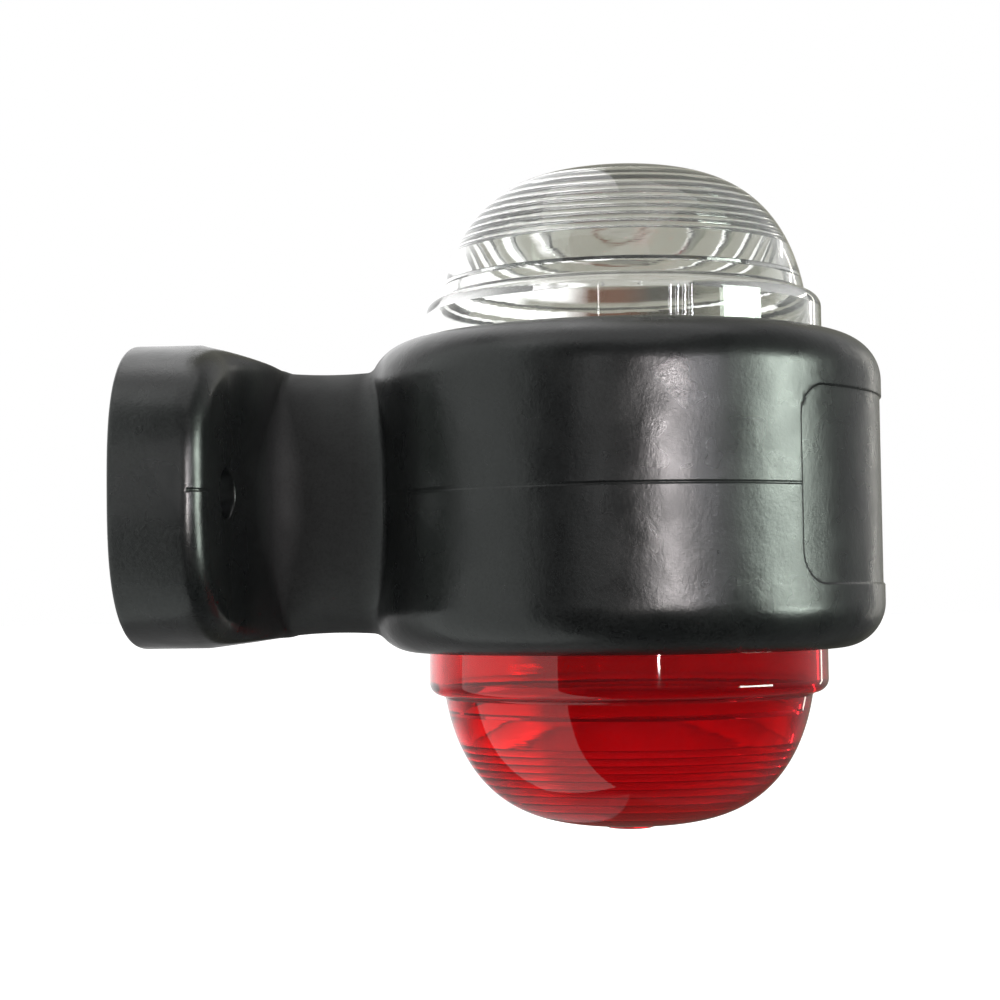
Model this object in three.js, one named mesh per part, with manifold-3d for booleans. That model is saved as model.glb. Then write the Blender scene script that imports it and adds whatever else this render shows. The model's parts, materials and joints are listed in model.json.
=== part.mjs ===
// Double-sided marker lamp on a flexible rubber stub arm, with a bayonet bulb inside.
// Millimetres. Origin: centre of the mounting foot's back face. +X runs along the arm away
// from the wall, +Z points at the clear lens, and -Z at the red one.
import * as THREE from 'three';
import { mergeVertices } from 'three/addons/utils/BufferGeometryUtils.js';
import Module from 'manifold-3d';

const wasm = await Module();
wasm.setup();

// ---- driving dimensions ----
const GAP = 0.3;                  // clearance between pieces that touch

const DRUM_X = 66;                // drum axis to mounting plane
const DRUM_R = 36.5;
const DRUM_HALF = 21.9;           // half height of the drum
const RIM_ROUND = 6.4;
const LEDGE_R = 25.4;             // bulb chamber, and the ledges the lenses sit on
const LEDGE_Z = 14;
const PANEL_HALF_Y = 28.4;        // shallow recess for a label on the drum's outer end
const PANEL_HALF_Z = 13.2;
const PANEL_DEPTH = 0.4;

const RING_R = 28.4;              // base ring of a lens
const RING_TOP = 28.1;
const RING_ROUND = 1.8;
const RING_WALL = 1.8;
const DOME_R = 26.75;             // dome: a superellipse standing on the height DOME_FROM
const DOME_FROM = 20;
const DOME_TOP = 47;
const DOME_ROUNDNESS = 3.1;
const DOME_TAPER = 2.35;
const DOME_WALL = 1.7;
const NUB_R = 3.5;
const NUB_HEIGHT = 0.6;

const FOOT_THICK = 12.6;          // mounting foot
const FOOT_STRAIGHT = 14;         // half length of its straight edges
const FOOT_HALF_Y = 37;
const FOOT_HALF_Z = 20.7;
const FOOT_ROUNDNESS = 2.4;
const FOOT_ROUND = 2.6;
const SCREW_Y = 25;
const SCREW_HOLE_R = 3.5;
const SLEEVE_R = 3.2;
const SLEEVE_BORE_R = 2.6;
const SLEEVE_LENGTH = 11;

const NECK_HALF_Y = 13;           // stub neck
const NECK_HALF_Z = 18.9;
const NECK_ROUNDNESS = 2.8;
const NECK_FROM = 17.5;
const NECK_TO = 26.3;
const HUB_SPREAD = 5;
const PASSAGE_R = 4.5;            // cable passage

const POCKET_X = 28.6;            // bayonet socket
const POCKET_R = 8.45;
const BARREL_R = 8.15;
const BARREL_BORE_R = 7.75;
const BARREL_FROM = 29.3;
const SLOT_WIDTH = 2.6;
const TURN_DEG = 20;              // bayonet turn
const PUSH = 2;                   // bayonet push
const BOARD_THICK = 1.4;
const STRIP = 0.5;                // thickness of the terminal strips
const STRIP_HALF_Y = 2;
const TAB_REACH = 3;              // how far the terminal tabs stand back into the passage
const SPRING_R = 3;
const SPRING_WIRE_R = 0.3;
const SPRING_TURNS = 3.5;

const PIN_X = 47.5;               // bulb, placed by its bayonet pins
const PIN_R = 1;
const PIN_REACH = 8.6;
const TIP_X = PIN_X - 6.5;
const FILAMENT_X = PIN_X + 19;
const CAP_R = 7.5;
const CAP_BORE_R = 7.05;
const GLASS_NECK_R = 6.6;
const GLASS_R = 9;
const GLASS_WALL = 0.6;
const STEM_R = 2.4;
const STEM_FLARE_R = 5.4;
const STEM_LENGTH = 10;
const SUPPORT_R = 0.25;
const COIL_R = 0.6;               // filament
const COIL_WIRE_R = 0.13;
const COIL_HALF = 2.8;
const COIL_TURNS = 7;

const BARREL_TO = PIN_X + PIN_R + 1.6;

// ---- materials ----
const material = (color, roughness, metalness, extra = {}) =>
  new THREE.MeshStandardMaterial({ color, roughness, metalness, ...extra });
const rubber = material(0x2a2d2e, 0.55, 0);
const clearPlastic = material(0xf2f6f4, 0.05, 0, { transparent: true, opacity: 0.35 });
const redPlastic = material(0xb8000f, 0.08, 0, { transparent: true, opacity: 0.7 });
const clearGlass = material(0xf4f8f8, 0.03, 0, { transparent: true, opacity: 0.3 });
const brass = material(0xc9a24e, 0.3, 1);
const zinc = material(0xb9bec2, 0.35, 1);
const solder = material(0xa8abad, 0.45, 1);
const tungsten = material(0x6f7276, 0.5, 1);
const board = material(0x5b3a22, 0.7, 0);
const blackGlass = material(0x15151a, 0.2, 0);

// ---- solids ----
function solid(geometry) {
  const bare = geometry.clone();
  bare.deleteAttribute('normal');
  bare.deleteAttribute('uv');
  const merged = mergeVertices(bare, 1e-4);
  const index = merged.index.array;
  const triVerts = [];
  for (let i = 0; i < index.length; i += 3) {
    const [a, b, c] = index.slice(i, i + 3);
    if (a !== b && b !== c && c !== a) triVerts.push(a, b, c);
  }
  return new wasm.Manifold(new wasm.Mesh({
    numProp: 3,
    vertProperties: new Float32Array(merged.attributes.position.array),
    triVerts: new Uint32Array(triVerts),
  }));
}

function cut(geometry, ...tools) {
  return geometryOf(tools.reduce((left, tool) => left.subtract(solid(tool)), solid(geometry)));
}

function join(geometry, ...others) {
  return geometryOf(others.reduce((sum, other) => sum.add(solid(other)), solid(geometry)));
}

function keep(geometry, region) {
  return geometryOf(solid(geometry).intersect(solid(region)));
}

function geometryOf(manifold) {
  const mesh = manifold.getMesh();
  const geometry = new THREE.BufferGeometry();
  geometry.setAttribute('position', new THREE.BufferAttribute(mesh.vertProperties, 3));
  geometry.setIndex(new THREE.BufferAttribute(mesh.triVerts, 1));
  geometry.computeVertexNormals();
  return geometry;
}

// Turned shapes: the profile is a list of [radius, height], counter-clockwise when closed.
function turnedZ(profile, segments) {
  const points = profile.map(([r, h]) => new THREE.Vector2(r, h));
  return new THREE.LatheGeometry(points, segments).rotateX(Math.PI / 2);
}

function turnedX(profile, segments) {
  const points = profile.map(([r, h]) => new THREE.Vector2(r, h));
  return new THREE.LatheGeometry(points, segments).rotateZ(-Math.PI / 2);
}

const ring = (inner, outer, from, to) =>
  [[inner, from], [outer, from], [outer, to], [inner, to], [inner, from]];
const disc = (radius, from, to) => [[0, from], [radius, from], [radius, to], [0, to]];

function arc(centreR, centreH, radius, fromDeg, toDeg, steps) {
  const points = [];
  for (let i = 0; i <= steps; i += 1) {
    const angle = THREE.MathUtils.degToRad(fromDeg + (toDeg - fromDeg) * i / steps);
    points.push([centreR + radius * Math.cos(angle), centreH + radius * Math.sin(angle)]);
  }
  return points;
}

// A block between two corners.
function block(low, high) {
  const size = high.map((value, i) => value - low[i]);
  return new THREE.BoxGeometry(...size)
    .translate(...low.map((value, i) => value + size[i] / 2));
}

// An outline in the Y-Z plane with straight edges and superelliptic ends.
function roundedOutline(halfY, halfZ, straight, roundness, stepsPerEnd) {
  const points = [];
  for (const side of [1, -1]) {
    for (let i = 0; i <= stepsPerEnd; i += 1) {
      const angle = Math.PI * (i / stepsPerEnd - 0.5);
      const across = Math.max(Math.cos(angle), 0) ** (2 / roundness);
      const up = Math.sign(angle) * Math.abs(Math.sin(angle)) ** (2 / roundness);
      const y = straight + (halfY - straight) * across;
      points.push(new THREE.Vector2(side * y, side * up * halfZ));
    }
  }
  return new THREE.Shape(points);
}

// Extrudes an outline drawn in the Y-Z plane along X; a bevel stays inside the length.
function extrudedX(shape, from, to, bevel = 0, bevelLength = bevel, bevelSteps = 3, offset = -bevel) {
  const settings = {
    depth: to - from - 2 * bevelLength,
    bevelEnabled: bevel > 0,
    bevelSize: bevel,
    bevelThickness: bevelLength,
    bevelSegments: bevelSteps,
    bevelOffset: offset,
  };
  const basis = new THREE.Matrix4().makeBasis(
    new THREE.Vector3(0, 1, 0), new THREE.Vector3(0, 0, 1), new THREE.Vector3(1, 0, 0));
  return new THREE.ExtrudeGeometry(shape, settings)
    .applyMatrix4(basis)
    .translate(from + bevelLength, 0, 0);
}

// A round wire along a curve.
function wire(curve, radius, steps, sides = 6) {
  const section = new THREE.Shape();
  for (let i = 0; i < sides; i += 1) {
    const angle = 2 * Math.PI * i / sides;
    const point = [radius * Math.cos(angle), radius * Math.sin(angle)];
    if (i === 0) section.moveTo(...point);
    else section.lineTo(...point);
  }
  return new THREE.ExtrudeGeometry(section, { steps, extrudePath: curve, bevelEnabled: false });
}

class Helix extends THREE.Curve {
  constructor(start, axis, across, length, radius, turns) {
    super();
    Object.assign(this, { start, axis, across, length, radius, turns });
    this.other = new THREE.Vector3().crossVectors(axis, across);
  }

  getPoint(t, target = new THREE.Vector3()) {
    const angle = 2 * Math.PI * this.turns * t;
    return target.copy(this.start)
      .addScaledVector(this.axis, this.length * t)
      .addScaledVector(this.across, this.radius * Math.cos(angle))
      .addScaledVector(this.other, this.radius * Math.sin(angle));
  }
}

const lamp = new THREE.Group();

function add(name, geometry, finish, parent = lamp) {
  const mesh = new THREE.Mesh(geometry, finish);
  mesh.name = name;
  parent.add(mesh);
  return mesh;
}

// ---- rubber body: foot, neck and drum ----
const neckOutline = () =>
  roundedOutline(NECK_HALF_Y, NECK_HALF_Z, 0, NECK_ROUNDNESS, 16);
const passage = (from, to) => turnedX(disc(PASSAGE_R, from, to), 20);

function mountingFoot() {
  const outline = roundedOutline(
    FOOT_HALF_Y, FOOT_HALF_Z, FOOT_STRAIGHT, FOOT_ROUNDNESS, 20);
  const plate = extrudedX(outline, -FOOT_THICK, FOOT_THICK, FOOT_ROUND);
  const hub = extrudedX(neckOutline(), -NECK_FROM, NECK_FROM,
    HUB_SPREAD, NECK_FROM - FOOT_THICK, 1, 0);
  const trimmedHub = keep(hub, extrudedX(outline, 0, NECK_FROM));
  const screwHoles = [-SCREW_Y, SCREW_Y].map((y) =>
    turnedX(disc(SCREW_HOLE_R, -1, FOOT_THICK + 2), 24).translate(0, y, 0));
  const behindWall = block([-NECK_FROM - 1, -50, -50], [0, 50, 50]);
  return cut(join(plate, trimmedHub), behindWall, passage(-1, NECK_FROM + 1), ...screwHoles);
}

function flexNeck() {
  const body = extrudedX(neckOutline(), NECK_FROM + GAP, NECK_TO - GAP);
  return cut(body, passage(NECK_FROM - 1, NECK_TO + 1));
}

function lampHousing() {
  const seatR = RING_R + GAP;
  const roundR = DRUM_R - RIM_ROUND;
  const roundH = DRUM_HALF - RIM_ROUND;
  const drum = turnedZ([
    [seatR, LEDGE_Z], [LEDGE_R, LEDGE_Z], [LEDGE_R, -LEDGE_Z], [seatR, -LEDGE_Z],
    [seatR, -DRUM_HALF],
    ...arc(roundR, -roundH, RIM_ROUND, -90, 0, 5),
    ...arc(roundR, roundH, RIM_ROUND, 0, 90, 5),
    [seatR, DRUM_HALF], [seatR, LEDGE_Z],
  ], 64).translate(DRUM_X, 0, 0);
  const chamberWallX = DRUM_X - LEDGE_R - 3;
  const stub = extrudedX(neckOutline(), NECK_TO, chamberWallX);
  const chamber = turnedZ(disc(seatR, -DRUM_HALF, DRUM_HALF), 64).translate(DRUM_X, 0, 0);
  const pocket = turnedX(disc(POCKET_R, POCKET_X, DRUM_X - LEDGE_R + 2), 32);
  const recess = cut(
    block([DRUM_X, -PANEL_HALF_Y, -PANEL_HALF_Z], [DRUM_X + 40, PANEL_HALF_Y, PANEL_HALF_Z]),
    turnedZ(disc(DRUM_R - PANEL_DEPTH, -20, 20), 64).translate(DRUM_X, 0, 0));
  const body = join(drum, cut(stub, chamber));
  return cut(body, recess, pocket, passage(NECK_TO - 1, POCKET_X + 1));
}

// ---- lenses ----
function domeProfile(inset, fromHeight, steps) {
  const rise = DOME_TOP - inset - DOME_FROM;
  const start = (fromHeight - DOME_FROM) / rise;
  const points = [];
  for (let i = 0; i <= steps; i += 1) {
    const up = start + (1 - start) * Math.sin(Math.PI / 2 * i / steps);
    const across = Math.max(1 - up ** DOME_TAPER, 0) ** (1 / DOME_ROUNDNESS);
    points.push([(DOME_R - inset) * across, DOME_FROM + rise * up]);
  }
  return points;
}

function lens() {
  const seat = LEDGE_Z + GAP;
  const innerR = RING_R - RING_WALL;
  const shell = turnedZ([
    [innerR, seat], [RING_R, seat],
    ...arc(RING_R - RING_ROUND, RING_TOP - RING_ROUND, RING_ROUND, 0, 90, 3),
    ...domeProfile(0, RING_TOP + 0.2, 8),
    ...domeProfile(DOME_WALL, RING_TOP - 1, 6).reverse(),
    [innerR, RING_TOP - 3], [innerR, seat],
  ], 44);
  const nub = turnedZ(disc(NUB_R, DOME_TOP - 1, DOME_TOP + NUB_HEIGHT), 20);
  return join(shell, nub);
}

// ---- bayonet socket ----
const boardX = BARREL_FROM + STRIP + GAP;
const boardFrontX = boardX + BOARD_THICK;
const rivetHead = 0.4;
const springFromX = boardFrontX + 2 * GAP + rivetHead;
const contactHeadX = TIP_X - 3.4;
const turnSteps = 12;             // straight steps in one turn of a coil

function socketBarrel() {
  const tube = turnedX(ring(BARREL_BORE_R, BARREL_R, BARREL_FROM, BARREL_TO), 40);
  const slots = [];
  for (const side of [0, 180]) {
    for (const turn of [0, TURN_DEG / 2, TURN_DEG]) {
      const mouthX = turn === TURN_DEG ? BARREL_TO + 1 : PIN_X + SLOT_WIDTH / 2;
      const window = block([PIN_X - PUSH - SLOT_WIDTH / 2, -SLOT_WIDTH / 2, CAP_R],
        [mouthX, SLOT_WIDTH / 2, BARREL_R + 1]);
      slots.push(window.rotateX(THREE.MathUtils.degToRad(side + turn)));
    }
  }
  return cut(tube, ...slots);
}

const rivet = (backX, frontX, shankR, backR, frontR) => turnedX([
  [0, backX], [backR, backX], [backR, backX + rivetHead], [shankR, backX + rivetHead],
  [shankR, frontX - rivetHead], [frontR, frontX - rivetHead], [frontR, frontX], [0, frontX],
], 20);

const LIVE_RIVET_Z = 0;
const EARTH_RIVET_Z = -5.2;
const RIVET_R = 0.9;
const RIVET_HOLE_R = RIVET_R + GAP;
const rivetBackX = BARREL_FROM - GAP - rivetHead;
const rivetFrontX = boardFrontX + GAP + rivetHead;
const rivetHole = (z) => turnedX(disc(RIVET_HOLE_R, 20, 40), 20).translate(0, 0, z);

function socketBase() {
  const plate = turnedX(disc(BARREL_BORE_R - GAP, boardX, boardFrontX), 32);
  return cut(plate, rivetHole(LIVE_RIVET_Z), rivetHole(EARTH_RIVET_Z));
}

// A strip riveted behind the base and bent back into the cable passage.
function terminal(lowZ, highZ, tabZ, rivetZ) {
  const plate = block([BARREL_FROM, -STRIP_HALF_Y, lowZ],
    [BARREL_FROM + STRIP, STRIP_HALF_Y, highZ]);
  const tab = block([NECK_TO - TAB_REACH, -STRIP_HALF_Y, tabZ - STRIP / 2],
    [BARREL_FROM + STRIP / 2, STRIP_HALF_Y, tabZ + STRIP / 2]);
  return cut(join(plate, tab), rivetHole(rivetZ));
}

function contactSpring() {
  const length = contactHeadX - springFromX - 2 * (SPRING_WIRE_R + GAP / 2);
  const start = new THREE.Vector3(springFromX + SPRING_WIRE_R + GAP / 2, 0, 0);
  const helix = new Helix(start, new THREE.Vector3(1, 0, 0), new THREE.Vector3(0, 1, 0),
    length, SPRING_R, SPRING_TURNS);
  return wire(helix, SPRING_WIRE_R, turnSteps * SPRING_TURNS);
}

const carrierFromX = contactHeadX + rivetHead + GAP;
const carrierToX = TIP_X - GAP - rivetHead - GAP;

function contactCarrier() {
  return turnedX(ring(RIVET_HOLE_R, BARREL_BORE_R - GAP, carrierFromX, carrierToX), 32);
}

// ---- bulb ----
function bulbCap() {
  const tube = turnedX(ring(CAP_BORE_R, CAP_R, TIP_X + 1.4, FILAMENT_X - 10), 40);
  const pinHoles = turnedZ(disc(PIN_R + GAP, -10, 10), 20).translate(PIN_X, 0, 0);
  return cut(tube, pinHoles);
}

function bayonetPin(side) {
  const inner = GLASS_NECK_R + GAP;
  const pin = turnedZ(disc(PIN_R, inner, PIN_REACH), 16);
  return pin.rotateX(side > 0 ? 0 : Math.PI).translate(PIN_X, 0, 0);
}

const GLASS_FROM = TIP_X + 5;
const GLASS_SHOULDER = FILAMENT_X - 10;

function glassProfile(inset) {
  return [
    [GLASS_NECK_R - inset, GLASS_FROM],
    [GLASS_NECK_R - inset, GLASS_SHOULDER],
    ...arc(0, FILAMENT_X, GLASS_R - inset, -38, 90, 9),
  ];
}

function bulbGlass() {
  const inside = glassProfile(GLASS_WALL).reverse();
  return turnedX([...glassProfile(0), ...inside, glassProfile(0)[0]], 28);
}

function glassStem() {
  const from = GLASS_FROM + 0.5;
  return turnedX([[0, from], [STEM_FLARE_R, from], [STEM_FLARE_R, from + 0.8],
    [STEM_R, from + 3], [STEM_R, from + STEM_LENGTH], [0, from + STEM_LENGTH]], 24);
}

function filamentSupport(side) {
  const stemTop = GLASS_FROM + 0.5 + STEM_LENGTH;
  const path = new THREE.CatmullRomCurve3([
    new THREE.Vector3(stemTop + GAP, side * 1.2, 0),
    new THREE.Vector3(stemTop + 4, side * 2.2, 0),
    new THREE.Vector3(FILAMENT_X - 2, side * 3.4, 0),
    new THREE.Vector3(FILAMENT_X + 0.6, side * 3.5, 0),
  ]);
  return wire(path, SUPPORT_R, 10);
}

function filament() {
  const start = new THREE.Vector3(FILAMENT_X, -COIL_HALF, 0);
  const helix = new Helix(start, new THREE.Vector3(0, 1, 0), new THREE.Vector3(1, 0, 0),
    2 * COIL_HALF, COIL_R, COIL_TURNS);
  return wire(helix, COIL_WIRE_R, 9 * COIL_TURNS, 5);
}

// ---- assembly ----
add('mounting_foot', mountingFoot(), rubber);
for (const [name, y] of [['near_screw_sleeve', -SCREW_Y], ['far_screw_sleeve', SCREW_Y]]) {
  const tube = turnedX(ring(SLEEVE_BORE_R, SLEEVE_R, 0, SLEEVE_LENGTH), 24);
  add(name, tube, zinc).position.y = y;
}
add('flex_neck', flexNeck(), rubber);
add('lamp_housing', lampHousing(), rubber);

add('socket_barrel', socketBarrel(), brass);
add('socket_base', socketBase(), board);
add('live_terminal', terminal(-1.9, 3, 2.75, LIVE_RIVET_Z), brass);
add('earth_terminal', terminal(-7.2, -2.5, -2.75, EARTH_RIVET_Z), brass);
add('live_rivet', rivet(rivetBackX, rivetFrontX, RIVET_R, 1.6, SPRING_R + 0.6), brass);
add('earth_rivet', rivet(rivetBackX, rivetFrontX, RIVET_R, 1.4, 1.3), brass)
  .position.z = EARTH_RIVET_Z;
add('contact_spring', contactSpring(), zinc);
add('contact_carrier', contactCarrier(), board);
add('centre_contact', rivet(contactHeadX, TIP_X - GAP, RIVET_R, SPRING_R + 0.6, 2.2), brass);

add('bulb_cap', bulbCap(), brass);
add('upper_bayonet_pin', bayonetPin(1), brass);
add('lower_bayonet_pin', bayonetPin(-1), brass);
add('cap_insulator', turnedX(disc(CAP_BORE_R - GAP, TIP_X + 1, TIP_X + 3.4), 32), blackGlass);
add('solder_contact', turnedX([[0, TIP_X], [1.6, TIP_X], [2.3, TIP_X + 0.4],
  [2.3, TIP_X + 1 - GAP], [0, TIP_X + 1 - GAP]], 20), solder);
add('bulb_glass', bulbGlass(), clearGlass);
add('glass_stem', glassStem(), clearGlass);
add('near_filament_support', filamentSupport(-1), zinc);
add('far_filament_support', filamentSupport(1), zinc);
add('bulb_filament', filament(), tungsten);

const clearSide = new THREE.Group();
const redSide = new THREE.Group();
clearSide.position.x = DRUM_X;
redSide.position.x = DRUM_X;
redSide.rotation.x = Math.PI;
lamp.add(clearSide, redSide);
add('clear_lens', lens(), clearPlastic, clearSide);
add('red_lens', lens(), redPlastic, redSide);

export default lamp;
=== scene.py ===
"""A double-sided marker lamp: a rubber foot, stub neck and drum in one moulding, a clear and a
red dome, and a bayonet bulb in its socket. Shapes are worked out in millimetres."""
import json
import math

import bmesh
import bpy
import numpy as np
from mathutils import Matrix, Vector


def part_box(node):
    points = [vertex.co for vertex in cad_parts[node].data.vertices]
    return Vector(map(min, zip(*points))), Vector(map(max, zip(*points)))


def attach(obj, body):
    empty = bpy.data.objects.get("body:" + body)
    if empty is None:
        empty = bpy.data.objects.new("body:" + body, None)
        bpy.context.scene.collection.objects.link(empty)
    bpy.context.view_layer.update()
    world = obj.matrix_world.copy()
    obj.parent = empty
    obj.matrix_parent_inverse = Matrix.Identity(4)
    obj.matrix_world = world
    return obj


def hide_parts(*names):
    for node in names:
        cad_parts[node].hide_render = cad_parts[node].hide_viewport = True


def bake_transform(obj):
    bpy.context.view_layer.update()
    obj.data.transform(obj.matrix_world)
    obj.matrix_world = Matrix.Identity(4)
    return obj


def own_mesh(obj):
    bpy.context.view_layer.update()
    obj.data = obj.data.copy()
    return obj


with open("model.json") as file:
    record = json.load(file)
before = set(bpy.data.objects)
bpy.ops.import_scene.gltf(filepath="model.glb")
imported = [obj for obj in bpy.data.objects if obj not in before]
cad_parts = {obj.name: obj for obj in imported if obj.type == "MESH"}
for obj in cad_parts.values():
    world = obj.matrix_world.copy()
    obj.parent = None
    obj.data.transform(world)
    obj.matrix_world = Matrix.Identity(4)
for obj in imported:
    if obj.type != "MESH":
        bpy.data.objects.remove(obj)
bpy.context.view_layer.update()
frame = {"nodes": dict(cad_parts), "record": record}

MM = 0.001


def corners(node):
    """The CAD node's box in millimetres, as (lowest, highest)."""
    return [np.array(point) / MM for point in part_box(node)]


# ---- driving dimensions, mm, from the frame ----
FOOT_HIGH = corners("mounting_foot")[1]
DRUM_HIGH = corners("lamp_housing")[1]
LENS_LOW, LENS_HIGH = corners("clear_lens")
DRUM_X = (LENS_LOW[0] + LENS_HIGH[0]) / 2
DRUM_R = DRUM_HIGH[1]
DRUM_HALF = DRUM_HIGH[2]
RING_R = LENS_HIGH[1]
FOOT_HALF_Y = FOOT_HIGH[1]
FOOT_HALF_Z = FOOT_HIGH[2]
NECK_FROM = FOOT_HIGH[0]

RIM_ROUND = 6.4
LEDGE_R = 25.4
LEDGE_Z = LENS_LOW[2] - 0.3
PANEL_ANGLE = 51.3
PANEL_HALF_Z = 13.2
PANEL_CORNER = 4.5
PANEL_DEPTH = 0.25
PANEL_EDGE = 0.35
SEAM_FLAT = 0.07
SEAM_EDGE = 0.24
FOOT_STRAIGHT_Y = 14
FOOT_FLAT_X = 9
SCREW_Y = (corners("far_screw_sleeve")[0][1] + corners("far_screw_sleeve")[1][1]) / 2
SCREW_HOLE_R = 3.4
PASSAGE_R = 4.5
POCKET_R = 8.45
POCKET_X = 28.6


# ---- rubber body as one distance field ----
def round_max(a, b, radius):
    """Intersection of two solids, with the edge between them rounded."""
    return np.minimum(np.maximum(a, b), -radius) + np.hypot(
        np.maximum(a + radius, 0), np.maximum(b + radius, 0))


def round_min(a, b, radius):
    """Union of two solids, with a fillet in the corner between them."""
    return -round_max(-a, -b, radius)


def ramp(value, start, end):
    """0 before start and 1 after end, smooth in between."""
    t = np.clip((value - start) / (end - start), 0, 1)
    return t * t * (3 - 2 * t)


def oval(y, z, half_y, half_z, power):
    """Distance to a superellipse, to first order."""
    u = np.abs(y) / half_y
    v = np.abs(z) / half_z
    total = np.maximum(u ** power + v ** power, 1e-9)
    shape = total ** (1 / power)
    slope = shape / total * np.hypot(u ** (power - 1) / half_y, v ** (power - 1) / half_z)
    return (shape - 1) / np.maximum(slope, 1e-3)


def below_middle(x, z):
    """The height above the arm's centre line, which dips a little beyond the foot."""
    return z + 0.055 * np.clip(x - FOOT_FLAT_X, 0, 9)


def foot_field(x, y, z):
    half_z = FOOT_HALF_Z - 0.2 * np.maximum(x - FOOT_FLAT_X, 0)
    end_y = np.maximum(np.abs(y) - FOOT_STRAIGHT_Y, 0)
    outline = oval(end_y, below_middle(x, z), FOOT_HALF_Y - FOOT_STRAIGHT_Y, half_z, 2.75)
    face_x = 12.4 + 0.07 * (36 - np.abs(y)) + 3.4 * (1 - ramp(np.abs(y), 10, 24))
    edge = 1.0 + 1.7 * ramp(np.abs(y), 8, 26)
    return round_max(round_max(outline, x - face_x, edge), -x, 0.6)


def neck_field(x, y, z):
    along = np.clip((x - NECK_FROM) / 15, 0, 1)
    half_y = 12.2 + 4.0 * along
    half_z = 19.0 - 1.6 * along * (1 - along)
    tube = oval(y, below_middle(x, z), half_y, half_z, 2.8)
    return np.maximum(np.maximum(tube, 6 - x), x - DRUM_X)


def panel_distance(x, y, z):
    """Distance on the drum's wall to the edge of the label recess, negative inside."""
    along = np.abs(np.arctan2(y, x - DRUM_X)) * DRUM_R
    across = np.abs(z)
    half = math.radians(PANEL_ANGLE) * DRUM_R
    return round_max(along - half, across - PANEL_HALF_Z, PANEL_CORNER)


def drum_field(x, y, z):
    radius = np.hypot(x - DRUM_X, y)
    recess = PANEL_DEPTH * (1 - ramp(panel_distance(x, y, z), -PANEL_EDGE, 0.0))
    return round_max(radius - DRUM_R + recess, np.abs(z) - DRUM_HALF, RIM_ROUND)


def hollow_field(x, y, z):
    radius = np.hypot(x - DRUM_X, y)
    seat = np.maximum(radius - RING_R - 0.05, LEDGE_Z - np.abs(z))
    chamber = np.minimum(radius - LEDGE_R, seat)
    pocket = np.maximum(np.hypot(y, z) - POCKET_R, np.maximum(POCKET_X - x, x - DRUM_X))
    passage = np.maximum(np.hypot(y, z) - PASSAGE_R, x - DRUM_X)
    screws = np.maximum(np.hypot(np.abs(y) - SCREW_Y, z) - SCREW_HOLE_R, x - 20)
    return np.minimum(np.minimum(chamber, pocket), np.minimum(passage, screws))


def rubber_field(x, y, z):
    neck_fillet = 0.7 + 4.3 * (1 - ramp(np.abs(z), 2, 18))
    foot = round_min(foot_field(x, y, z), neck_field(x, y, z), neck_fillet)
    body = round_min(foot, drum_field(x, y, z), 0.7)
    corner = ramp(x, 10.2, 10.8) * (1 - ramp(x, 12.9, 13.4)) * ramp(np.abs(y), 33, 35)
    seam = ramp(x, 29, 46) * ramp(panel_distance(x, y, z), -0.2, 0.3)
    depth = 0.19 * corner + 0.14 * seam
    parting = depth * (1 - ramp(np.abs(z), SEAM_FLAT, SEAM_EDGE))
    mouth = 0.12 + 0.33 * ramp(x, 15, 20)
    return round_max(body + parting, -hollow_field(x, y, z), mouth)


def gradient(field, points, reach=0.02):
    """The field's slope at each point."""
    result = np.empty_like(points)
    for axis in range(3):
        shift = np.zeros(3)
        shift[axis] = reach
        ahead = field(*(points + shift).T)
        behind = field(*(points - shift).T)
        result[:, axis] = (ahead - behind) / (2 * reach)
    return result


def settle(field, points, rounds=4, limit=0.3):
    """Moves points onto the field's zero surface."""
    for _ in range(rounds):
        slope = gradient(field, points)
        size = np.maximum((slope ** 2).sum(1), 0.05)
        step = np.clip(field(*points.T) / np.sqrt(size), -limit, limit)
        points = points - slope * (step / np.sqrt(size))[:, None]
    return points


def surface_net(field, low, high, step):
    """Vertices and quads of the field's zero surface, by surface nets."""
    axes = [np.arange(a, b + step, step) for a, b in zip(low, high)]
    values = field(*np.meshgrid(*axes, indexing="ij"))
    inside = values < 0
    cells = np.array(values.shape) - 1
    origin = np.array([axis[0] for axis in axes])
    sums, quads = [], []
    for axis in range(3):
        others = [(axis + 1) % 3, (axis + 2) % 3]
        first = [slice(None)] * 3
        second = [slice(None)] * 3
        first[axis] = slice(None, -1)
        second[axis] = slice(1, None)
        start, end = inside[tuple(first)], inside[tuple(second)]
        where = np.argwhere(start != end)
        keep = np.all([(where[:, o] > 0) & (where[:, o] < cells[o]) for o in others], axis=0)
        where = where[keep]
        a = values[tuple(first)][tuple(where.T)]
        b = values[tuple(second)][tuple(where.T)]
        point = where.astype(float)
        point[:, axis] += a / (a - b)
        around = []
        for back_u, back_v in ((1, 1), (0, 1), (0, 0), (1, 0)):
            cell = where.copy()
            cell[:, others[0]] -= back_u
            cell[:, others[1]] -= back_v
            around.append(np.ravel_multi_index(cell.T, cells))
            sums.append((around[-1], point))
        quad = np.stack(around, 1)
        leaving = start[tuple(where.T)]
        quads.append(np.where(leaving[:, None], quad, quad[:, ::-1]))
    used = np.concatenate([ids for ids, _ in sums])
    points = np.concatenate([point for _, point in sums])
    names, index = np.unique(used, return_inverse=True)
    count = np.bincount(index)
    centre = np.stack([np.bincount(index, points[:, i]) / count for i in range(3)], 1)
    return origin + centre * step, np.searchsorted(names, np.concatenate(quads))


def object_from(name, bm, crease_deg=180):
    mesh = bpy.data.meshes.new(name)
    bm.to_mesh(mesh)
    bm.free()
    obj = bpy.data.objects.new(name, mesh)
    bpy.context.scene.collection.objects.link(obj)
    mesh.shade_smooth()
    if crease_deg < 180:
        mesh.set_sharp_from_angle(angle=math.radians(crease_deg))
    return obj


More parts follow.
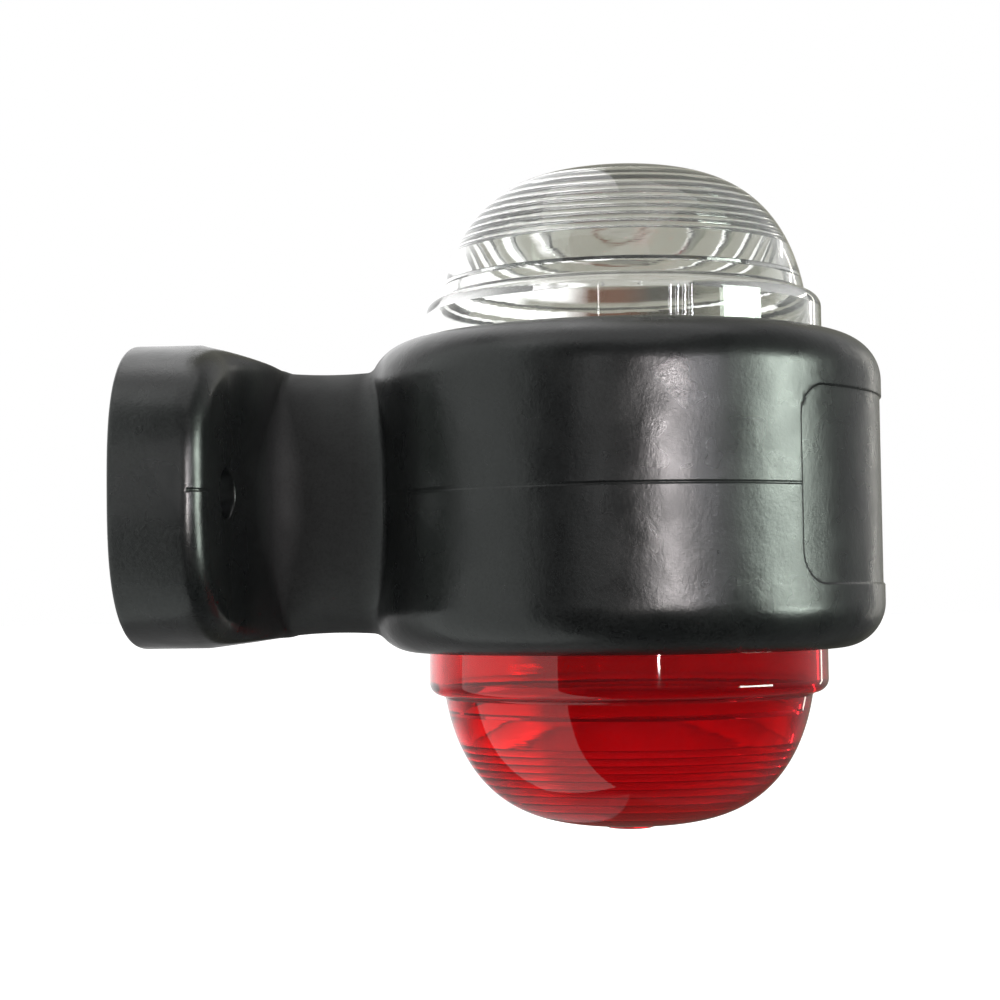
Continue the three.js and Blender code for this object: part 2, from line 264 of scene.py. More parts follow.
def settle_mesh(bm, field):
    """Moves a mesh's vertices, kept in metres, onto a field in millimetres."""
    points = np.array([v.co for v in bm.verts]) / MM
    for vert, point in zip(bm.verts, settle(field, points) * MM):
        vert.co = point


def refine(bm, field, angle_deg):
    """Splits the edges along which the surface turns by more than this angle."""
    points = np.array([v.co for v in bm.verts]) / MM
    normals = gradient(field, points)
    normals /= np.linalg.norm(normals, axis=1)[:, None]
    bm.verts.index_update()
    bm.edges.ensure_lookup_table()
    ends = np.array([[v.index for v in e.verts] for e in bm.edges])
    turn = (normals[ends[:, 0]] * normals[ends[:, 1]]).sum(1)
    sharp = np.nonzero(turn < math.cos(math.radians(angle_deg)))[0]
    bmesh.ops.subdivide_edges(bm, edges=[bm.edges[i] for i in sharp], cuts=1, use_grid_fill=True)


def rubber_body():
    step = 0.5
    margin = 1.37
    low = [-margin, -FOOT_HALF_Y - margin, -DRUM_HALF - margin]
    high = [DRUM_X + DRUM_R + margin, FOOT_HALF_Y + margin, DRUM_HALF + margin]
    points, quads = surface_net(rubber_field, low, high, step)
    points = settle(rubber_field, points)
    mesh = bpy.data.meshes.new("raw")
    mesh.from_pydata((points * MM).tolist(), [], quads.tolist())
    bm = bmesh.new()
    bm.from_mesh(mesh)
    bpy.data.meshes.remove(mesh)
    panel = PANEL_HALF_Z
    for height in (-panel, PANEL_EDGE - panel, -SEAM_EDGE, -SEAM_FLAT,
                   SEAM_FLAT, SEAM_EDGE, panel - PANEL_EDGE, panel):
        geometry = bm.verts[:] + bm.edges[:] + bm.faces[:]
        bmesh.ops.bisect_plane(bm, geom=geometry, plane_co=(0, 0, height * MM), plane_no=(0, 0, 1))
    settle_mesh(bm, rubber_field)
    for _ in range(2):
        refine(bm, rubber_field, 14)
        settle_mesh(bm, rubber_field)
    return object_from("rubber_body", bm)


# ---- turned pieces ----
def turned(name, profile, segments, crease_deg):
    """Turns a closed profile of (radius, height) about Z, in mm."""
    bm = bmesh.new()
    rings = []
    for radius, height in profile:
        if radius < 1e-4:
            rings.append([bm.verts.new((0, 0, height * MM))] * segments)
            continue
        ring = []
        for i in range(segments):
            angle = 2 * math.pi * i / segments
            ring.append(bm.verts.new(
                (radius * math.cos(angle) * MM, radius * math.sin(angle) * MM, height * MM)))
        rings.append(ring)
    for lower, upper in zip(rings, rings[1:] + rings[:1]):
        for i in range(segments):
            j = (i + 1) % segments
            face = list(dict.fromkeys([lower[i], lower[j], upper[j], upper[i]]))
            if len(face) > 2:
                bm.faces.new(face)
    bmesh.ops.recalc_face_normals(bm, faces=bm.faces[:])
    return object_from(name, bm, crease_deg)


def arc(radius, height, size, start_deg, end_deg, steps):
    angles = np.radians(np.linspace(start_deg, end_deg, steps + 1))
    return [(radius + size * math.cos(a), height + size * math.sin(a)) for a in angles]


DOME_R = 26.75
DOME_FROM = 20.0
DOME_TOP = LENS_HIGH[2] - 0.95
DOME_WALL = 1.7


def dome_radius(height, inset=0.0):
    up = min(max((height - DOME_FROM) / (DOME_TOP - inset - DOME_FROM), 0), 1)
    return (DOME_R - inset) * (1 - up ** 2.35) ** (1 / 3.1)


def dome_points(start, inset, steps):
    rise = DOME_TOP - inset - start
    heights = [start + rise * math.sin(math.pi / 2 * i / steps) for i in range(steps + 1)]
    return [(dome_radius(h, inset), h) for h in heights]


def prism_points(depth):
    """The dome's inner wall: a step, then rings that each bulge like a half-round thread."""
    points = [(dome_radius(29.9, DOME_WALL), 29.9), (dome_radius(30.2, DOME_WALL + 0.45), 30.15),
              (dome_radius(30.6, DOME_WALL + 0.1), 30.6)]
    first, pitch, steps = 34.4, 1.02, 8
    for ring in range(10):
        for i in range(steps):
            share = (1 - math.cos(math.pi * i / steps)) / 2
            height = first + pitch * (ring + share)
            bulge = depth * (1.15 - 0.06 * ring) * math.sin(math.pi * i / steps)
            points.append((dome_radius(height, DOME_WALL + bulge), height))
    return points


def lens(name, ring_depth):
    seat = LENS_LOW[2]
    inner = RING_R - 1.8
    ring_top = 28.1
    outside = [(inner, seat), (RING_R - 0.3, seat), (RING_R, seat + 0.3),
               (RING_R, ring_top - 2.3), (RING_R, ring_top - 1.9)]
    outside += arc(RING_R - 1.8, ring_top - 1.8, 1.8, 0, 84, 12)
    outside += arc(26.62, ring_top + 0.2, 0.2, 264, 200, 4)
    outside += dome_points(ring_top + 0.4, 0, 48)[:-1]
    nub = [(4.1, DOME_TOP - 0.03), (3.6, DOME_TOP + 0.08), (3.5, DOME_TOP + 0.2),
           (3.45, LENS_HIGH[2] - 0.5), (3.3, LENS_HIGH[2] - 0.4), (0, LENS_HIGH[2] - 0.4)]
    outside = [p for p in outside if p[0] > 4.3 or p[1] < 30] + nub
    inside = [(0, DOME_TOP - DOME_WALL)]
    inside += [p for p in dome_points(44.4, DOME_WALL, 12)[::-1] if p[0] > 0.5]
    inside += [p for p in prism_points(ring_depth)[::-1] if p[1] < 44.3]
    inside += [(dome_radius(28.4, DOME_WALL), 28.4), (inner - 0.6, 27.2)]
    inside += [(inner, 26.2), (inner, 25.9)]
    return turned(name, outside + inside, 160, 24)


def place(obj, matrix):
    obj.data.transform(matrix)
    return obj


def along_x(obj):
    """Lays a piece turned about Z along the bulb's axis."""
    return place(obj, Matrix.Rotation(math.pi / 2, 4, "Y"))


# ---- bulb, socket and sleeves ----
GLASS_LOW, GLASS_HIGH = corners("bulb_glass")
CAP_LOW, CAP_HIGH = corners("bulb_cap")
BARREL_LOW, BARREL_HIGH = corners("socket_barrel")
PIN_LOW, PIN_HIGH = corners("upper_bayonet_pin")
STEM_LOW, STEM_HIGH = corners("glass_stem")
SPRING_LOW, SPRING_HIGH = corners("contact_spring")
COIL_LOW, COIL_HIGH = corners("bulb_filament")

GLASS_R = 9.0
GLASS_NECK_R = 6.6
GLASS_WALL = 0.6
BALL_X = GLASS_HIGH[0] - GLASS_R
COIL_X = (COIL_LOW[0] + COIL_HIGH[0]) / 2
PIN_X = (PIN_LOW[0] + PIN_HIGH[0]) / 2
CAP_R = 7.5
CAP_BORE_R = 7.05
TURN_DEG = 20
PUSH = 2.0
SLOT_HALF = 1.3
BEAD_X = 33.4
BEAD_HALF = 0.7
SLOT_X = (PIN_X - PUSH - SLOT_HALF, PIN_X + SLOT_HALF)


def bezier(a, b, c, d, steps):
    """Points on a cubic curve from a to d, without d itself."""
    points = []
    for i in range(steps):
        t = i / steps
        u = 1 - t
        weights = (u ** 3, 3 * u * u * t, 3 * u * t * t, t ** 3)
        points.append(tuple(sum(w * p[k] for w, p in zip(weights, (a, b, c, d)))
                            for k in range(len(a))))
    return points


def glass_profile(inset):
    neck, ball = GLASS_NECK_R - inset, GLASS_R - inset
    dome = arc(0, BALL_X, ball, -42, 90, 30)
    shoulder = (neck, CAP_HIGH[0] - 0.5)
    lead_in = (dome[0][0] - 0.67 * 2.2, dome[0][1] - 0.74 * 2.2)
    curve = bezier(shoulder, (neck, shoulder[1] + 2), lead_in, dome[0], 10)
    tip = [(0, BALL_X + ball)]
    return [(neck, GLASS_LOW[0])] + curve + dome[:-1] + tip


def bulb_envelope():
    profile = glass_profile(0) + glass_profile(GLASS_WALL)[::-1]
    return along_x(turned("bulb_envelope", profile, 128, 50))


def cap_shell():
    """Brass tube with a rolled lip at the glass, two rolled-in grooves and a rounded foot."""
    low, high = CAP_LOW[0], CAP_HIGH[0]
    outside = [(CAP_BORE_R, low), (CAP_R - 0.3, low), (CAP_R - 0.08, low + 0.08), (CAP_R, low + 0.3)]
    for bead in (low + 2.6, high - 3.4):
        for share in np.linspace(-1, 1, 9):
            dip = 0.22 * (1 + math.cos(math.pi * share)) / 2
            outside.append((CAP_R - dip, bead + 0.6 * share))
    outside += [(CAP_R, high - 1.5), (CAP_R - 0.2, high - 1.2), (CAP_R - 0.2, high - 1.0)]
    outside += arc(CAP_R - 0.4, high - 0.4, 0.4, -60, 90, 8)
    inside = [(CAP_BORE_R, high)]
    return along_x(turned("cap_shell", outside + inside, 128, 50))


def bayonet_pin(name, side):
    """Round-ended pin, at the top for side 1 and at the bottom for side -1."""
    low, high = PIN_LOW[2], PIN_HIGH[2]
    profile = [(0, low), (1, low), (1, high - 0.35)] + arc(0.65, high - 0.35, 0.35, 0, 90, 6)[1:]
    pin = turned(name, profile + [(0, high)], 40, 50)
    over = Matrix.Rotation(0 if side > 0 else math.pi, 4, "X")
    return place(pin, Matrix.Translation((PIN_X * MM, 0, 0)) @ over)


def screw_sleeve(name, node):
    low, high = corners(node)
    outer, edge = (high[2] - low[2]) / 2, 0.2
    inner = outer - 0.6
    profile = [(inner, low[0] + edge), (inner + edge, low[0]), (outer, low[0]),
               (outer, high[0] - edge), (outer - edge, high[0]), (inner + edge, high[0]),
               (inner, high[0] - edge)]
    sleeve = along_x(turned(name, profile, 72, 30))
    return place(sleeve, Matrix.Translation((0, (low[1] + high[1]) / 2 * MM, 0)))


def stem():
    """Pressed glass stem: a flared foot and a tube pinched flat round the supports."""
    low, high = STEM_LOW[0], STEM_HIGH[0]
    profile = [(0, low), (5.3, low), (5.4, low + 0.15), (5.4, low + 0.65), (5.25, low + 0.8)]
    profile += bezier((5.25, low + 0.8), (3.2, low + 1.2), (2.5, low + 2.2), (2.4, low + 4), 8)
    profile += [(2.4, low + 4), (2.4, high - 4), (2.35, high - 2), (2.2, high - 0.6),
                (1.7, high - 0.1), (0, high)]
    piece = along_x(turned("pressed_stem", profile, 72, 60))
    for vert in piece.data.vertices:
        pinch = float(ramp(vert.co.x / MM, low + 4, high - 3))
        vert.co.z *= 1 - 0.55 * pinch
    return piece


def swept(name, path, radius, sides=10):
    """A round wire of this radius along a path of points, all in mm."""
    path = [Vector(p) for p in path]
    bm = bmesh.new()
    rings = []
    across = None
    for i, point in enumerate(path):
        ahead = (path[min(i + 1, len(path) - 1)] - path[max(i - 1, 0)]).normalized()
        if across is None:
            across = ahead.orthogonal().normalized()
        across = (across - ahead * across.dot(ahead)).normalized()
        other = ahead.cross(across)
        rings.append([bm.verts.new((point + radius * (
            across * math.cos(2 * math.pi * k / sides)
            + other * math.sin(2 * math.pi * k / sides))) * MM) for k in range(sides)])
    for lower, upper in zip(rings, rings[1:]):
        for k in range(sides):
            n = (k + 1) % sides
            bm.faces.new((lower[k], lower[n], upper[n], upper[k]))
    for end in (rings[0], rings[-1]):
        bm.faces.new(end)
    bmesh.ops.recalc_face_normals(bm, faces=bm.faces[:])
    return object_from(name, bm, 60)


def spring():
    """Compression spring whose end turns are closed flat."""
    wire = 0.3
    turns, steps = 4.5, 28
    radius = SPRING_HIGH[1] - wire
    start, length = SPRING_LOW[0] + wire, SPRING_HIGH[0] - SPRING_LOW[0] - 2 * wire
    path = []
    for i in range(int(turns * steps) + 1):
        turn = i / steps
        rise = 0.12 * (turn / turns) + 0.88 * float(ramp(turn, 0.4, turns - 0.4))
        angle = 2 * math.pi * turn
        path.append((start + length * rise, radius * math.cos(angle), radius * math.sin(angle)))
    return swept("spring_wire", path, wire, 12)


def filament():
    """Fine coil between the hooks, with straight ends."""
    turns, steps, radius, half = 15, 14, 0.5, 2.3
    path = [(COIL_X, -3.3, 0), (COIL_X, -half - 0.35, 0)]
    for i in range(turns * steps + 1):
        angle = 2 * math.pi * i / steps
        grow = min(i, turns * steps - i, steps) / steps
        path.append((COIL_X + radius * grow * math.cos(angle),
                     -half + 2 * half * i / (turns * steps), radius * grow * math.sin(angle)))
    path += [(COIL_X, half + 0.35, 0), (COIL_X, 3.3, 0)]
    return swept("filament_coil", path, 0.07, 8)


def support(name, side):
    """Lead wire from the stem, bent outwards and hooked over the filament's end."""
    from_x = STEM_HIGH[0] + 0.25
    path = bezier((from_x, side * 1.2, 0), (from_x + 4, side * 1.3, 0),
                  (COIL_X - 6, side * 3.2, 0), (COIL_X - 1, side * 3.45, 0), 16)
    for i in range(9):
        angle = math.radians(180 - 25 * i)
        path.append((COIL_X + 0.05 + 0.3 * math.cos(angle), side * 3.45, 0.3 * math.sin(angle)))
    return swept(name, path, 0.2, 10)


def barrel_radius(x):
    bead = 0.2 * max(1 - abs(x - BEAD_X) / BEAD_HALF, 0)
    edge = 0.12 if x in (BARREL_LOW[0], BARREL_HIGH[0]) else 0
    return BARREL_HIGH[2] - bead - edge


def slot_edges():
    """Degrees from the top: where the leg starts, where the mouth starts, where both end."""
    half = math.degrees(SLOT_HALF / BARREL_HIGH[2])
    return -half, TURN_DEG - half, TURN_DEG + half


def in_slot(angle_deg, x):
    start, corner, end = slot_edges()
    angle = (angle_deg + 90) % 180 - 90
    leg = start < angle < end and SLOT_X[0] < x < SLOT_X[1]
    mouth = corner < angle < end and x > SLOT_X[0]
    return leg or mouth


def barrel_grid():
    """Angles, and places along X, where the barrel's faces meet, the slots' edges among them."""
    degs = set(range(0, 360, 3))
    for turn in (0, 180):
        degs |= {(edge + turn) % 360 for edge in slot_edges()}
    low, high = BARREL_LOW[0], BARREL_HIGH[0]
    beads = [BEAD_X + BEAD_HALF * share for share in np.linspace(-1, 1, 7)]
    heights = sorted([low, low + 0.25, high - 0.25, high, *SLOT_X, *beads, 37, 40, 43])
    return sorted(degs), heights


def barrel():
    """Brass tube with an L-shaped slot at its top and its bottom, and a rolled-in groove."""
    wall = 0.4
    degs, heights = barrel_grid()
    count, rows = len(degs), len(heights) - 1
    bm = bmesh.new()
    verts = {}

    def vert(i, j, layer):
        key = (i % count, j, layer)
        if key not in verts:
            r = barrel_radius(heights[j]) - wall * layer
            a = math.radians(degs[key[0]])
            verts[key] = bm.verts.new((heights[j] * MM, -r * math.sin(a) * MM, r * math.cos(a) * MM))
        return verts[key]

    def solid_at(i, j):
        middle = degs[i] + (degs[(i + 1) % count] - degs[i]) % 360 / 2
        return not in_slot(middle, (heights[j] + heights[j + 1]) / 2)

    solid = [[solid_at(i, j) for j in range(rows)] for i in range(count)]
    for i in range(count):
        for j in range(rows):
            if not solid[i][j]:
                continue
            for layer in (0, 1):
                bm.faces.new([vert(i, j, layer), vert(i + 1, j, layer),
                              vert(i + 1, j + 1, layer), vert(i, j + 1, layer)])
            sides = ((i - 1, j, (i, j), (i, j + 1)), (i + 1, j, (i + 1, j), (i + 1, j + 1)),
                     (i, j - 1, (i, j), (i + 1, j)), (i, j + 1, (i, j + 1), (i + 1, j + 1)))
            for ni, nj, a, b in sides:
                if not 0 <= nj < rows or not solid[ni % count][nj]:
                    bm.faces.new([vert(*a, 0), vert(*b, 0), vert(*b, 1), vert(*a, 1)])
    bmesh.ops.recalc_face_normals(bm, faces=bm.faces[:])
    return object_from("slotted_barrel", bm, 40)


# ---- materials ----
class Graph:
    """A node tree with short names for making and joining nodes."""

    def __init__(self, owner, coordinates):
        owner.use_nodes = True
        self.tree = owner.node_tree
        self.place = self.node("ShaderNodeTexCoord").outputs[coordinates]

    def node(self, kind, **values):
        made = self.tree.nodes.new(kind)
        for key, value in values.items():
            if hasattr(made, key):
                setattr(made, key, value)
            else:
                made.inputs[key.replace("_", " ")].default_value = value
        return made

    def join(self, source, target):
        self.tree.links.new(source, target)

    def noise(self, scale, detail=2.0, roughness=0.5, stretch=None):
        made = self.node("ShaderNodeTexNoise", Scale=scale, Detail=detail, Roughness=roughness)
        source = self.place
        if stretch:
            mapping = self.node("ShaderNodeMapping", Scale=stretch)
            self.join(source, mapping.inputs["Vector"])
            source = mapping.outputs["Vector"]
        self.join(source, made.inputs["Vector"])
        return made.outputs["Fac"]

    def mix(self, kind, share, a, b):
        """Blends two colours; share is a number or a socket."""
        made = self.node("ShaderNodeMix", data_type="RGBA", blend_type=kind)
        if isinstance(share, (int, float)):
            made.inputs["Factor"].default_value = share
        else:
            self.join(share, made.inputs["Factor"])
        self.join(a, made.inputs[6])
        self.join(b, made.inputs[7])
        return made.outputs[2]

    def times(self, a, b):
        return self.mix("MULTIPLY", 1, a, b)

    def math(self, operation, *values):
        made = self.node("ShaderNodeMath", operation=operation)
        for socket, value in zip(made.inputs, values):
            if isinstance(value, (int, float)):
                socket.default_value = value
            else:
                self.join(value, socket)
        return made.outputs[0]

    def along(self, axis):
        made = self.node("ShaderNodeSeparateXYZ")
        self.join(self.place, made.inputs[0])
        return made.outputs[axis]

    def share(self, source, low, high):
        """How far a value lies from low to high, 0 to 1."""
        made = self.node("ShaderNodeMapRange", From_Min=low, From_Max=high)
        self.join(source, made.inputs["Value"])
        return made.outputs["Result"]

    def ramp(self, source, stops):
        """A colour ramp; stops are (position, grey or colour)."""
        made = self.node("ShaderNodeValToRGB")
        band = made.color_ramp
        while len(band.elements) < len(stops):
            band.elements.new(0.5)
        for element, (position, colour) in zip(band.elements, stops):
            element.position = position
            grey = isinstance(colour, (int, float))
            element.color = (colour,) * 3 + (1,) if grey else (*colour, 1)
        self.join(source, made.inputs["Fac"])
        return made.outputs["Color"]

    def bump(self, source, distance, strength=1.0, after=None):
        made = self.node("ShaderNodeBump", Strength=strength, Distance=distance)
        self.join(source, made.inputs["Height"])
        if after:
            self.join(after, made.inputs["Normal"])
        return made.outputs["Normal"]


class Material(Graph):
    """The node tree of a new material, on the piece's own coordinates."""

    def __init__(self, name):
        self.material = bpy.data.materials.new(name)
        super().__init__(self.material, "Object")
        self.shader = self.tree.nodes["Principled BSDF"]

    def set(self, **values):
        for key, value in values.items():
            self.shader.inputs[key.replace("_", " ")].default_value = value


def rubber_material():
    g = Material("black_rubber")
    cloud = g.noise(70, 5, 0.65)
    speck = g.ramp(g.noise(2600, 2, 0.7), [(0.36, 0.35), (0.5, 1.0), (0.66, 1.25)])
    tone = g.ramp(cloud, [(0.3, (0.0022, 0.0025, 0.0027)), (0.72, (0.0046, 0.0052, 0.0051))])
    g.join(g.times(tone, speck), g.shader.inputs["Base Color"])
    gloss = g.ramp(g.noise(170, 2, 0.5), [(0.3, 0.24), (0.7, 0.34)])
    matt = g.ramp(g.math("MULTIPLY", g.along("X"), 20),
                  [(0.29, 0), (0.35, 1), (0.58, 1), (0.66, 0)])
    g.join(g.math("MULTIPLY_ADD", matt, 0.4, gloss), g.shader.inputs["Roughness"])
    grain = g.bump(g.noise(1500, 3, 0.7), 0.000035, 0.8)
    pits = g.bump(g.noise(500, 2, 0.5), 0.00002, 0.6, after=grain)
    wave = g.bump(g.noise(75, 2.5, 0.5), 0.00038, 0.8, after=pits)
    g.join(wave, g.shader.inputs["Normal"])
    g.set(Specular_IOR_Level=0.5, IOR=1.5)
    return g.material


def lens_material(name, pale, deep, roughness, body=0.0, painted_ring_shade=1.0):
    """Moulded plastic: tinted, with flow marks round the dome; the ring's colour can be darkened by
    a factor, painted shade where the lens meets the rubber.
    """
    g = Material(name)
    g.set(IOR=1.5, Transmission_Weight=1.0 - body, Roughness=roughness)
    tint = g.ramp(g.noise(260, 4, 0.6), [(0.3, deep), (0.7, pale)])
    # The ring next to the rubber (height below 29 mm) is darkened by a factor: painted shade, where
    # the rubber rim shades the lens.
    height = g.math("MULTIPLY", g.math("ABSOLUTE", g.along("Z")), 20)
    g.join(g.times(tint, g.ramp(height, [(0.58, painted_ring_shade), (0.62, 1.0)])),
           g.shader.inputs["Base Color"])
    swirl = g.bump(g.noise(120, 2, 0.5), 0.00005, 0.5)
    streaks = g.bump(g.noise(1, 3, 0.55, stretch=(45, 45, 1500)), 0.00002, 0.12, after=swirl)
    g.join(streaks, g.shader.inputs["Normal"])
    return g.material


def metal_material(name, dark, light, roughness):
    g = Material(name)
    stain = g.noise(400, 4, 0.6)
    g.join(g.ramp(stain, [(0.3, dark), (0.7, light)]), g.shader.inputs["Base Color"])
    g.join(g.ramp(stain, [(0.3, roughness + 0.12), (0.7, roughness)]),
           g.shader.inputs["Roughness"])
    g.join(g.bump(g.noise(2000, 2), 0.00002, 0.4), g.shader.inputs["Normal"])
    g.set(Metallic=1.0)
    return g.material


def plain_material(name, dark, light, roughness):
    g = Material(name)
    mottle = g.noise(500, 4, 0.6)
    g.join(g.ramp(mottle, [(0.3, dark), (0.7, light)]), g.shader.inputs["Base Color"])
    g.join(g.ramp(mottle, [(0.3, roughness), (0.7, roughness + 0.15)]),
           g.shader.inputs["Roughness"])
    g.join(g.bump(g.noise(2000, 3), 0.00003, 0.5), g.shader.inputs["Normal"])
    return g.material


def dress(obj, material):
    obj.data.materials.clear()
    obj.data.materials.append(material)


# ---- camera, lights and floor ----
CAMERA_DISTANCE = 285.5
CAMERA_Z = -13.7
CAMERA_YAW = 3.61
CAMERA_PITCH = 2.69
CAMERA_ROLL = -0.8
CAMERA_LENS = 71.4


def make_camera():
    data = bpy.data.cameras.new("camera")
    data.lens = CAMERA_LENS
    data.sensor_width = 36
    data.clip_start = 0.01
    camera = bpy.data.objects.new("camera", data)
    bpy.context.scene.collection.objects.link(camera)
    turn = (Matrix.Rotation(math.radians(CAMERA_YAW), 4, "Z")
            @ Matrix.Rotation(math.radians(90 + CAMERA_PITCH), 4, "X")
            @ Matrix.Rotation(math.radians(CAMERA_ROLL), 4, "Z"))
    spot = Matrix.Translation(Vector((DRUM_X, -CAMERA_DISTANCE, CAMERA_Z)) * MM)
    camera.matrix_world = spot @ turn
    bpy.context.scene.camera = camera


def around(azimuth, elevation, distance):
    """A spot round the drum; azimuth is counted from the camera towards +X."""
    a, e = math.radians(azimuth), math.radians(elevation)
    out = Vector((math.sin(a) * math.cos(e), -math.cos(a) * math.cos(e), math.sin(e)))
    return Vector((DRUM_X * MM, 0, 0)) + out * distance


def panel_light(name, spot, target, width, height, brightness, colour):
    """An area light at a spot, facing a target."""
    data = bpy.data.lights.new(name, "AREA")
    data.shape = "RECTANGLE"
    data.size, data.size_y = width, height
    data.energy = brightness * math.pi * width * height
    data.color = colour
    light = bpy.data.objects.new(name, data)
    bpy.context.scene.collection.objects.link(light)
    light.location = spot
    light.rotation_mode = "QUATERNION"
    light.rotation_quaternion = (spot - target).to_track_quat("Z", "Y")
    light.visible_camera = False


ROOM = (0.10, 0.10, 0.10)
PAPER = (1.7, 1.7, 1.7)
WALL = (0.40, 0.395, 0.335)
SHADE = (0.06, 0.056, 0.042)
CUPBOARD = (0.16, 0.065, 0.030)
SHELF = (0.24, 0.24, 0.19)
WHITE_LIGHT = (1, 1, 1)
WINDOW_LIGHT = (0.87, 1.0, 0.89)
BLIND_LIGHT = (0.95, 0.95, 1.0)


# azimuth in degrees and colour, behind the lamp
WALL_BEHIND = [(-174.4, PAPER), (-174.7, WALL), (-200, WALL)]
SHELF_BEHIND = [(-177.2, PAPER), (-177.5, SHADE), (-178, CUPBOARD), (-180, CUPBOARD),
                (-180.5, SHADE), (-183, SHADE), (-184.5, SHELF), (-200, SHELF)]
# height of a direction's unit vector, and how much of the shelf shows there
SHELF_HEIGHTS = [(0.120, 0), (0.132, 1), (0.162, 1), (0.170, 0)]
# share of the way from straight down to straight up, and the light left there
DUSK = [(0.35, 0.2), (0.44, 0.6), (0.49, 0.8), (0.53, 1)]


def round_the_room(behind):
    """Ramp stops all the way round, from azimuths in degrees; 0 is at the camera."""
    front = [(0, ROOM), (-70, (0.13,) * 3), (-100, (0.35,) * 3), (-144, PAPER), (-173, PAPER)]
    side = [(-214, (0.7,) * 3), (-238, (0.5,) * 3), (-259, (0.3,) * 3), (-288, (0.12,) * 3),
            (-360, ROOM)]
    return [(-azimuth / 360, colour) for azimuth, colour in front + behind + side]


def room_colour(g):
    """Wall and shelf round the room, darker below the horizon."""
    bearing = g.math("ARCTAN2", g.along("X"), g.along("Y"))
    turn = g.share(bearing, -math.pi, math.pi)
    wall = g.ramp(turn, round_the_room(WALL_BEHIND))
    shelf = g.ramp(turn, round_the_room(SHELF_BEHIND))
    at_shelf = g.ramp(g.along("Z"), SHELF_HEIGHTS)
    dusk = g.ramp(g.share(g.along("Z"), -1, 1), DUSK)
    return g.times(g.mix("MIX", at_shelf, wall, shelf), dusk)


def make_world():
    """White to the camera; to everything else, a dim room with white paper at its left."""
    world = bpy.data.worlds.new("studio")
    bpy.context.scene.world = world
    g = Graph(world, "Generated")
    room = g.tree.nodes["Background"]
    g.join(room_colour(g), room.inputs["Color"])
    white = g.node("ShaderNodeBackground", Color=(1, 1, 1, 1))
    choice = g.node("ShaderNodeMixShader")
    g.join(g.node("ShaderNodeLightPath").outputs["Is Camera Ray"], choice.inputs["Fac"])
    g.join(room.outputs["Background"], choice.inputs[1])
    g.join(white.outputs["Background"], choice.inputs[2])
    g.join(choice.outputs["Shader"], g.tree.nodes["World Output"].inputs["Surface"])


def make_floor():
    bm = bmesh.new()
    bmesh.ops.create_grid(bm, x_segments=1, y_segments=1, size=6.0)
    floor = object_from("floor", bm)
    floor.location = (0, 0, -0.1)
    floor.visible_glossy = False
    floor.visible_transmission = False
    g = Material("pale_floor")
    g.join(g.ramp(g.noise(30, 3), [(0.3, 0.86), (0.7, 0.9)]), g.shader.inputs["Base Color"])
    g.set(Roughness=0.9, Emission_Color=(1, 1, 1, 1), Emission_Strength=0.8)
    dress(floor, g.material)


def light_up():
    drum = Vector((DRUM_X * MM, 0, 0))
    card = Vector((-0.104, -0.024, -0.05))
    facing = Vector((0.70, 0.70, 0.16))
    panel_light("side_card", card, card + facing, 0.254, 0.7, 0.95, (0.94, 1.0, 0.97))
    panel_light("sill", around(74, -11, 0.35), drum, 0.14, 0.045, 24, WINDOW_LIGHT)
    for name, azimuth, elevation, width, height, brightness, colour in (
            ("small_left", -12.7, 9, 0.005, 0.3, 40, WHITE_LIGHT),
            ("small_right", 19.5, 2.5, 0.036, 0.12, 165, (1.0, 0.93, 0.94)),
            ("lamp", 17, -3.4, 0.008, 0.0035, 5000, (1.0, 0.96, 0.9)),
            ("blind_1", 27, 8, 0.007, 0.16, 60, BLIND_LIGHT),
            ("blind_2", 31, 8, 0.007, 0.16, 60, BLIND_LIGHT),
            ("blind_3", 35, 8, 0.007, 0.16, 60, BLIND_LIGHT),
            ("blind_4", 39, 8, 0.007, 0.16, 60, BLIND_LIGHT),
            ("window_high", 71, 13, 0.36, 0.13, 20, WINDOW_LIGHT),
            ("window_low", 71, 4, 0.36, 0.09, 24, WINDOW_LIGHT),
            ("back_window", 142, 5, 0.04, 0.5, 4, (1.0, 0.97, 0.86)),
            ("ceiling", -20, 78, 0.9, 0.9, 1.0, WHITE_LIGHT)):
        spot = around(azimuth, elevation, 0.8)
        panel_light(name, spot, drum, width, height, brightness, colour)


make_camera()
make_world()
make_floor()
light_up()

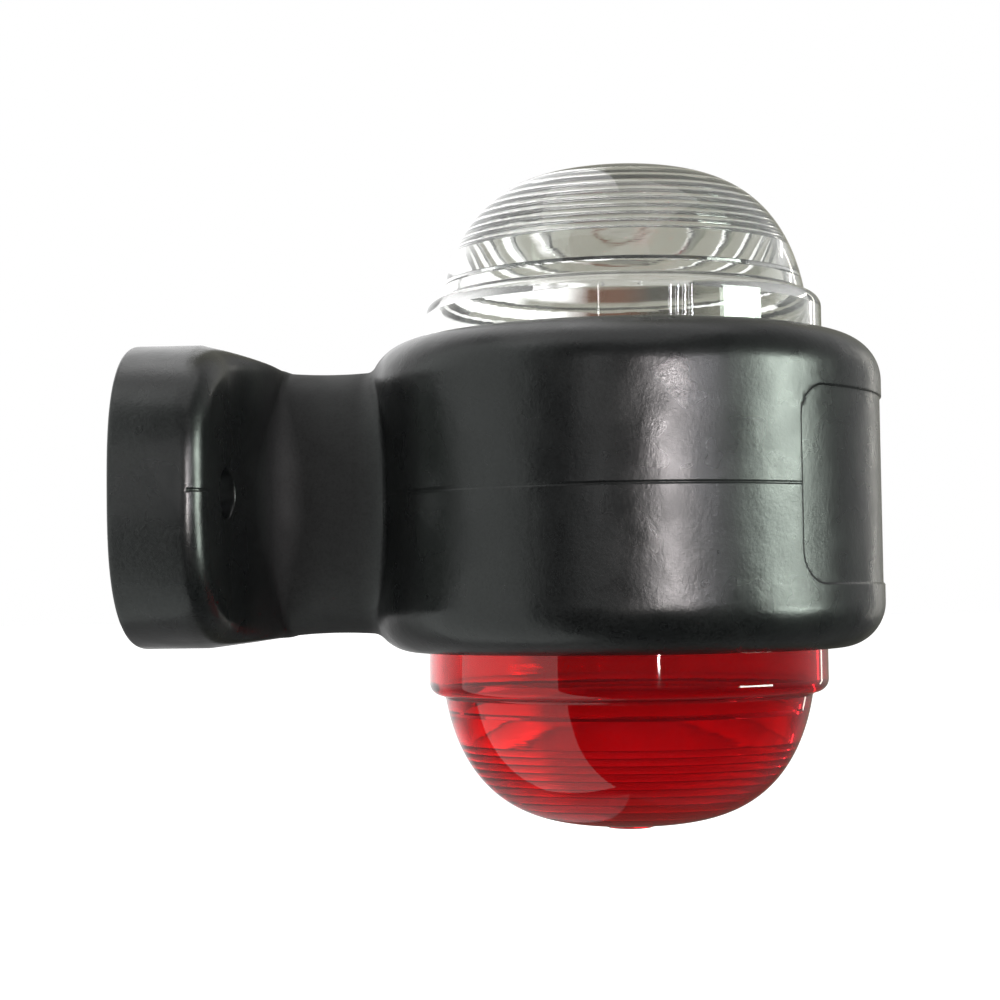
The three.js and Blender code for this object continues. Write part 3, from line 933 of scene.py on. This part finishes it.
# ---- the lamp ----
steel = metal_material("steel", (0.42, 0.43, 0.45), (0.66, 0.67, 0.69), 0.28)
FINISHES = {
    "clear_plastic": lens_material("clear_plastic", (1.0, 1.0, 0.99), (0.93, 0.94, 0.92), 0.0, 0.03),
    "red_plastic": lens_material("red_plastic", (0.98, 0.019, 0.032), (0.90, 0.013, 0.023),
                                 # The red lens's ring darkened to 0.76: painted shade next to the
                                 # rubber.
                                 0.02, 0.05, painted_ring_shade=0.76),
    "bulb_glass": lens_material("bulb_glass", (1.0, 1.0, 1.0), (0.96, 0.97, 0.97), 0.0),
    "black_rubber": rubber_material(),
    "brass": metal_material("brass", (0.52, 0.34, 0.12), (0.80, 0.60, 0.28), 0.25),
    "zinc_plated_steel": steel,
    "spring_steel": steel,
    "tungsten": metal_material("tungsten", (0.16, 0.16, 0.17), (0.3, 0.3, 0.31), 0.4),
    "solder": metal_material("solder", (0.42, 0.42, 0.43), (0.62, 0.62, 0.63), 0.4),
    "insulating_board": plain_material("board", (0.10, 0.045, 0.02), (0.19, 0.09, 0.045), 0.6),
    "black_glass": plain_material("black_glass", (0.01, 0.01, 0.013), (0.02, 0.02, 0.025), 0.12)}


def fit(piece, node, body, slot):
    """Puts a finished piece in the place of a CAD node."""
    dress(piece, FINISHES[slot])
    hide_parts(node)
    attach(piece, body)
    return piece


skin = rubber_body()
dress(skin, FINISHES["black_rubber"])
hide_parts("mounting_foot", "flex_neck", "lamp_housing")
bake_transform(skin)

at_drum = Matrix.Translation((DRUM_X * MM, 0, 0))
turned_over = at_drum @ Matrix.Rotation(math.pi, 4, "X")
fit(place(lens("clear_dome", 0.42), at_drum), "clear_lens", "clear_lens", "clear_plastic")
fit(place(lens("red_dome", 0.07), turned_over), "red_lens", "red_lens", "red_plastic")

fit(bulb_envelope(), "bulb_glass", "bulb", "bulb_glass")
fit(stem(), "glass_stem", "bulb", "bulb_glass")
fit(cap_shell(), "bulb_cap", "bulb", "brass")
fit(bayonet_pin("upper_pin", 1), "upper_bayonet_pin", "bulb", "brass")
fit(bayonet_pin("lower_pin", -1), "lower_bayonet_pin", "bulb", "brass")
fit(filament(), "bulb_filament", "bulb", "tungsten")
fit(support("near_support", -1), "near_filament_support", "bulb", "spring_steel")
fit(support("far_support", 1), "far_filament_support", "bulb", "spring_steel")
fit(barrel(), "socket_barrel", "head", "brass")
for side in ("near", "far"):
    node = side + "_screw_sleeve"
    fit(screw_sleeve(side + "_sleeve", node), node, "foot", "zinc_plated_steel")
coil = fit(spring(), "contact_spring", "head", "spring_steel")
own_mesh(coil)

KEPT = ("socket_base", "live_terminal", "earth_terminal", "live_rivet", "earth_rivet",
        "contact_carrier", "centre_contact", "cap_insulator", "solder_contact")
for part in frame["record"]["subparts"]:
    if part["node"] in KEPT:
        dress(frame["nodes"][part["node"]], FINISHES[part["material_slot"]])

bpy.context.scene.view_settings.view_transform = "Standard"
